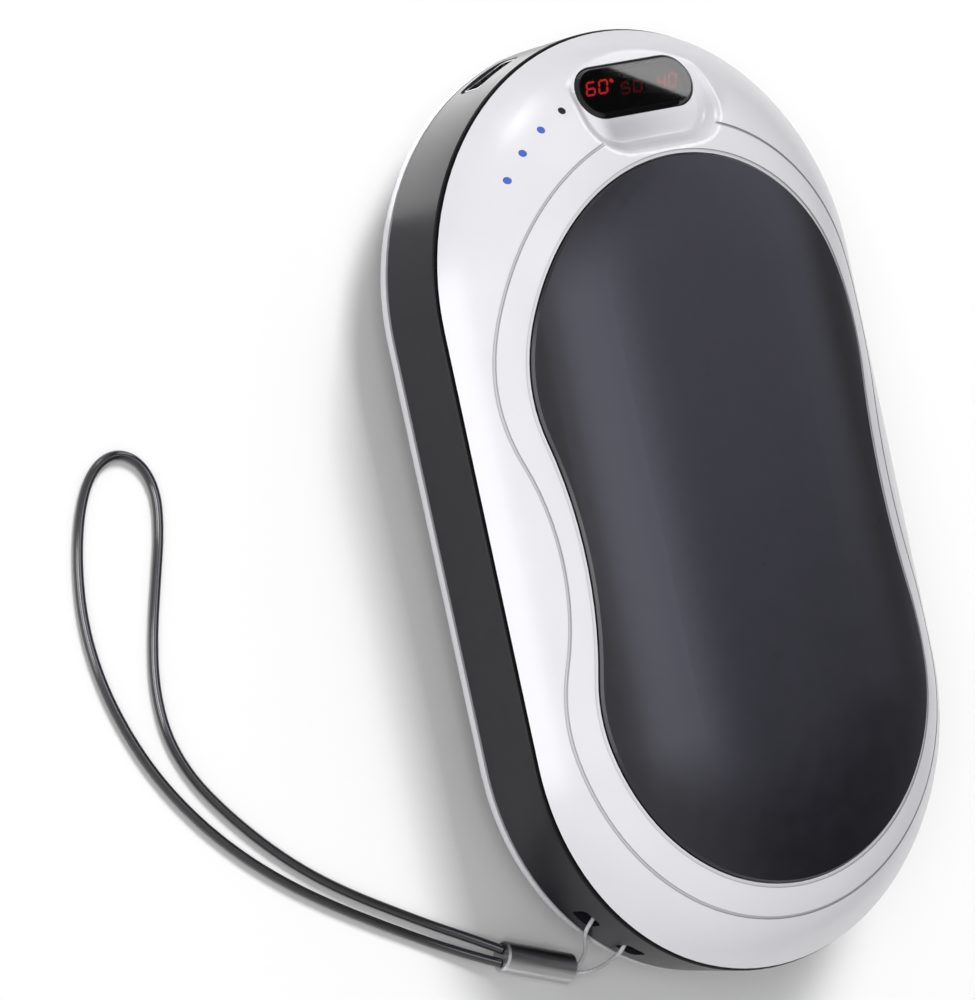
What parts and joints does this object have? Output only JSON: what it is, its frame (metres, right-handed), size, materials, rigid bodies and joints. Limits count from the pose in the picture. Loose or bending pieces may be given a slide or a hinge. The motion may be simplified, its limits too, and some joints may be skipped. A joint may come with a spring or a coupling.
{
  "type": "rechargeable hand warmer",
  "caption": "Pebble-shaped electric hand warmer: white domed shells on a dark band, waisted heat plates, temperature display, indicator lights, charging socket and a lanyard.",
  "frame": {"origin": "on the rear plate's flat face, under the middle of the housing's outline", "axes": "+Z out of the front face with the display, +Y along the housing towards the display end, +X to the right seen from the front"},
  "size_m": [0.1021, 0.1092, 0.0274],
  "materials": {
    "white_shell": "gloss moulded plastic",
    "charcoal_band": "satin moulded plastic",
    "slate_plate": "satin dark anodised sheet",
    "gasket": "adhesive foam frame",
    "heater_film": "amber polyimide film",
    "insulation": "pale felt pad",
    "bead": "epoxy bead",
    "pouch_cell": "foil pouch",
    "tape": "double-sided tape",
    "circuit_board": "green solder mask",
    "screw_steel": "plated steel",
    "socket_steel": "plated steel",
    "socket_tongue": "dark plastic",
    "button": "satin dark plastic",
    "switch_black": "black plastic",
    "lens": "smoked gloss lens",
    "module_black": "black plastic",
    "pin_metal": "plated pins",
    "unlit_light": "clear plastic, unlit",
    "blue_light": "clear plastic, lit blue",
    "led": "LED chips",
    "lead_white": "white insulated wire",
    "lead_red": "red insulated wire",
    "string": "thin grey string",
    "cord": "smooth dark cord",
    "sleeve": "brushed metal crimp sleeve"
  },
  "bodies": {
    "housing": {"front_shell": "white_shell", "rear_shell": "white_shell", "middle_band": "charcoal_band", "front_heat_plate": "slate_plate", "rear_heat_plate": "slate_plate", "front_plate_gasket": "gasket", "rear_plate_gasket": "gasket", "front_heater_film": "heater_film", "rear_heater_film": "heater_film", "front_insulation": "insulation", "rear_insulation": "insulation", "thermistor": "bead", "front_cell": "pouch_cell", "rear_cell": "pouch_cell", "cell_tape": "tape", "protection_board": "circuit_board", "main_board": "circuit_board", "board_screws": "screw_steel", "case_screws": "screw_steel", "charge_socket_shell": "socket_steel", "charge_socket_tongue": "socket_tongue", "switch_housing": "switch_black", "display_window": "lens", "display_module": "module_black", "display_pins": "pin_metal", "light_pipe_1": "unlit_light", "light_pipe_2": "blue_light", "light_pipe_3": "blue_light", "light_pipe_4": "blue_light", "indicator_leds": "led", "front_heater_leads": "lead_white", "rear_heater_leads": "lead_white", "battery_leads": "lead_red", "strap_string": "string", "strap_cord": "cord", "strap_sleeve": "sleeve"},
    "power_button": {"power_button": "button", "switch_plunger": "switch_black"}
  },
  "joints": [
    {"name": "power_button_press", "type": "slide", "parent": "housing", "child": "power_button", "axis": [-0.4067, -0.9135, 0], "range_m": [0, 0.0005], "stiffness_N_per_m": 3000}
  ]
}
